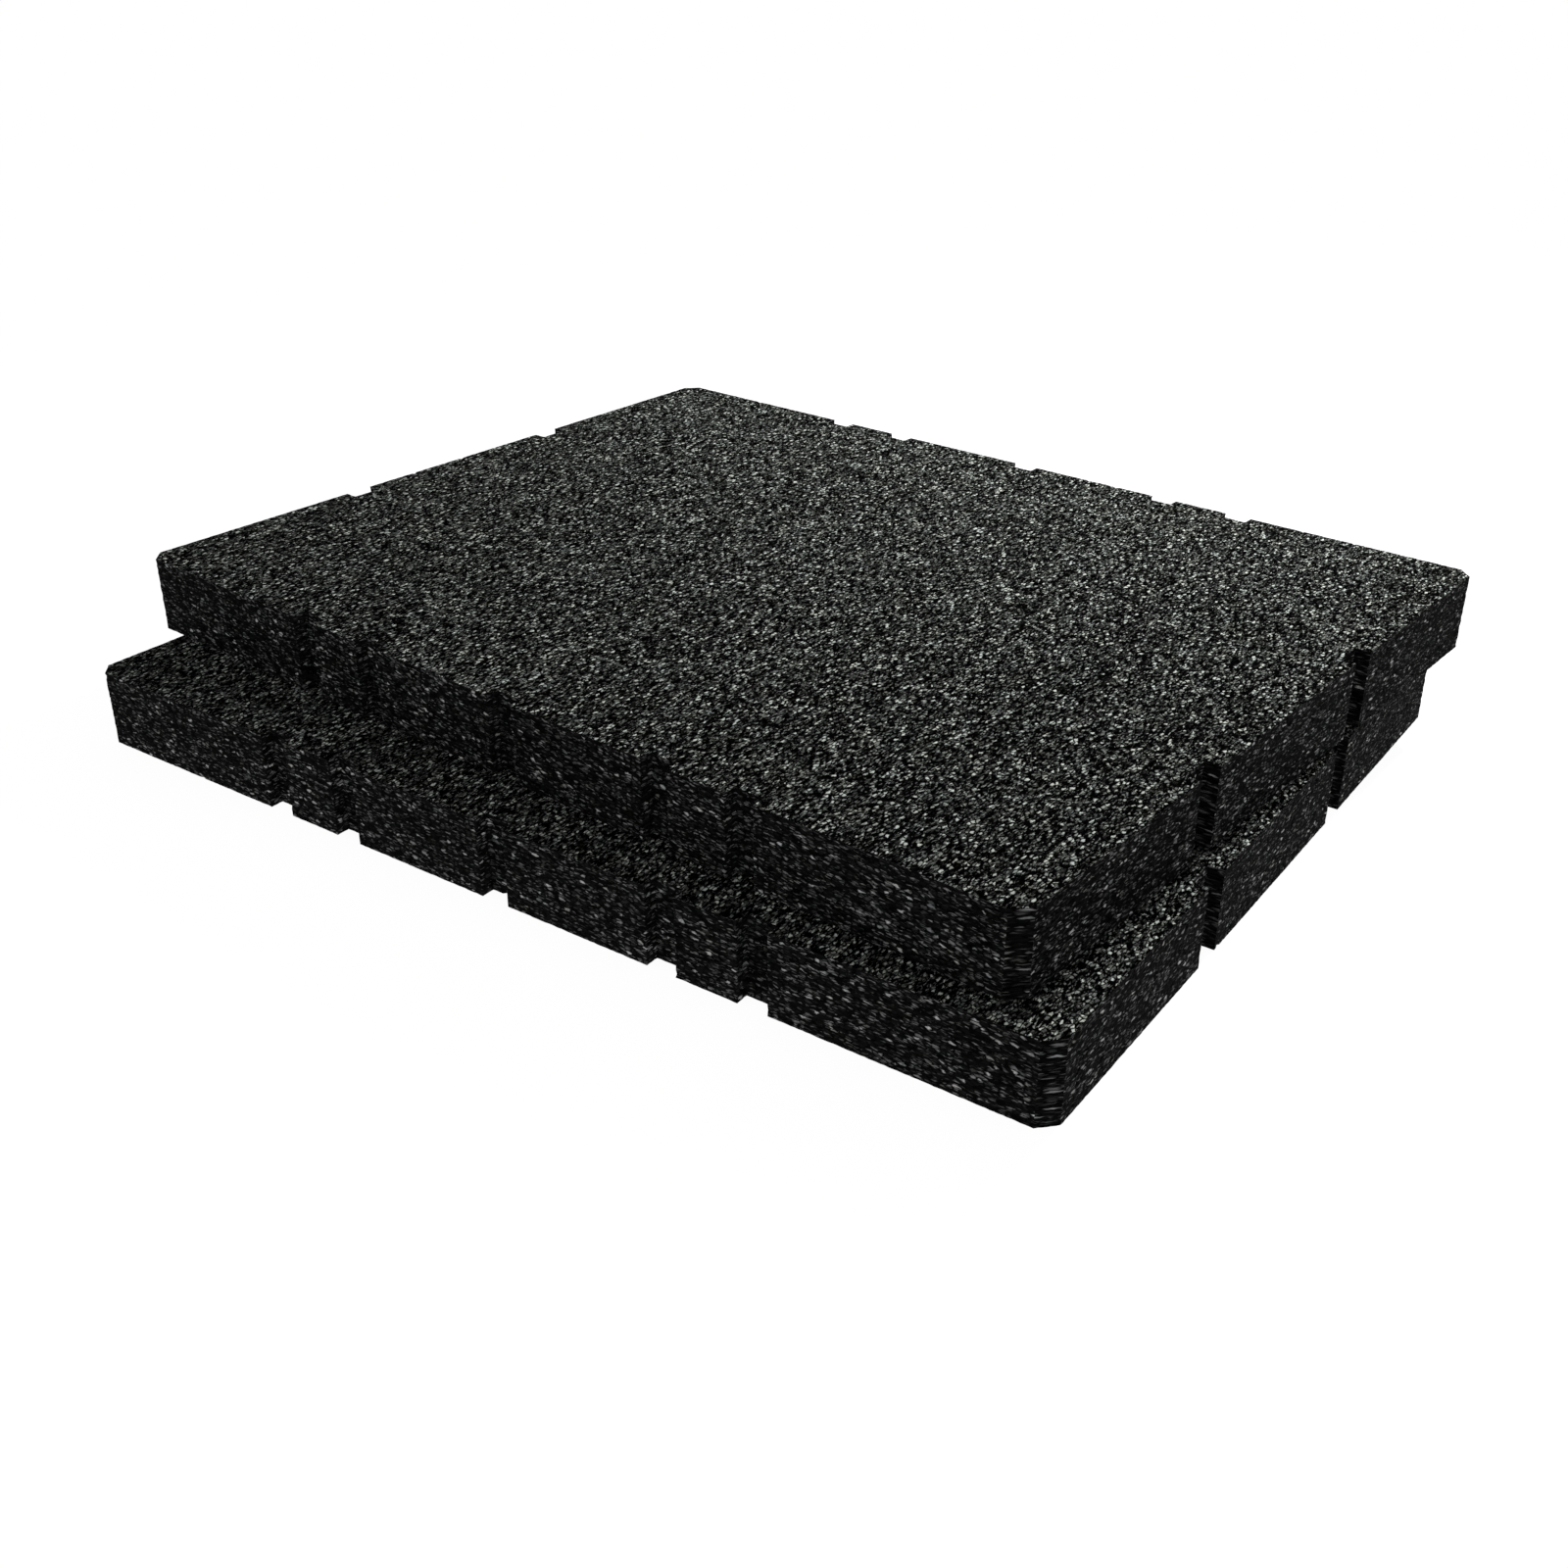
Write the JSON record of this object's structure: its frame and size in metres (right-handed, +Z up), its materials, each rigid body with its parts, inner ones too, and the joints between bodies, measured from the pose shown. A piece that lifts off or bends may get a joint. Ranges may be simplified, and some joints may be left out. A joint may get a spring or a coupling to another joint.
{
  "type": "rubber floor mat pair",
  "caption": "Loose pair of thick, rectangular rubber granulate floor mats with notched edges, one lying slightly askew on the other.",
  "frame": {"origin": "middle of the lower mat's underside, on the floor", "axes": "+X along the mats' long sides, +Y across them, +Z up"},
  "size_m": [0.6334, 0.5252, 0.086],
  "materials": {
    "rubber_granulate": "matt, granular, black crumb with light grey flecks"
  },
  "bodies": {
    "lower_mat": {"lower_mat": "rubber_granulate"},
    "upper_mat": {"upper_mat": "rubber_granulate"}
  },
  "joints": [
    {"name": "upper_mat_lift", "type": "slide", "parent": "lower_mat", "child": "upper_mat", "axis": [0, 0, 1], "range_m": [0, 0.2]}
  ]
}
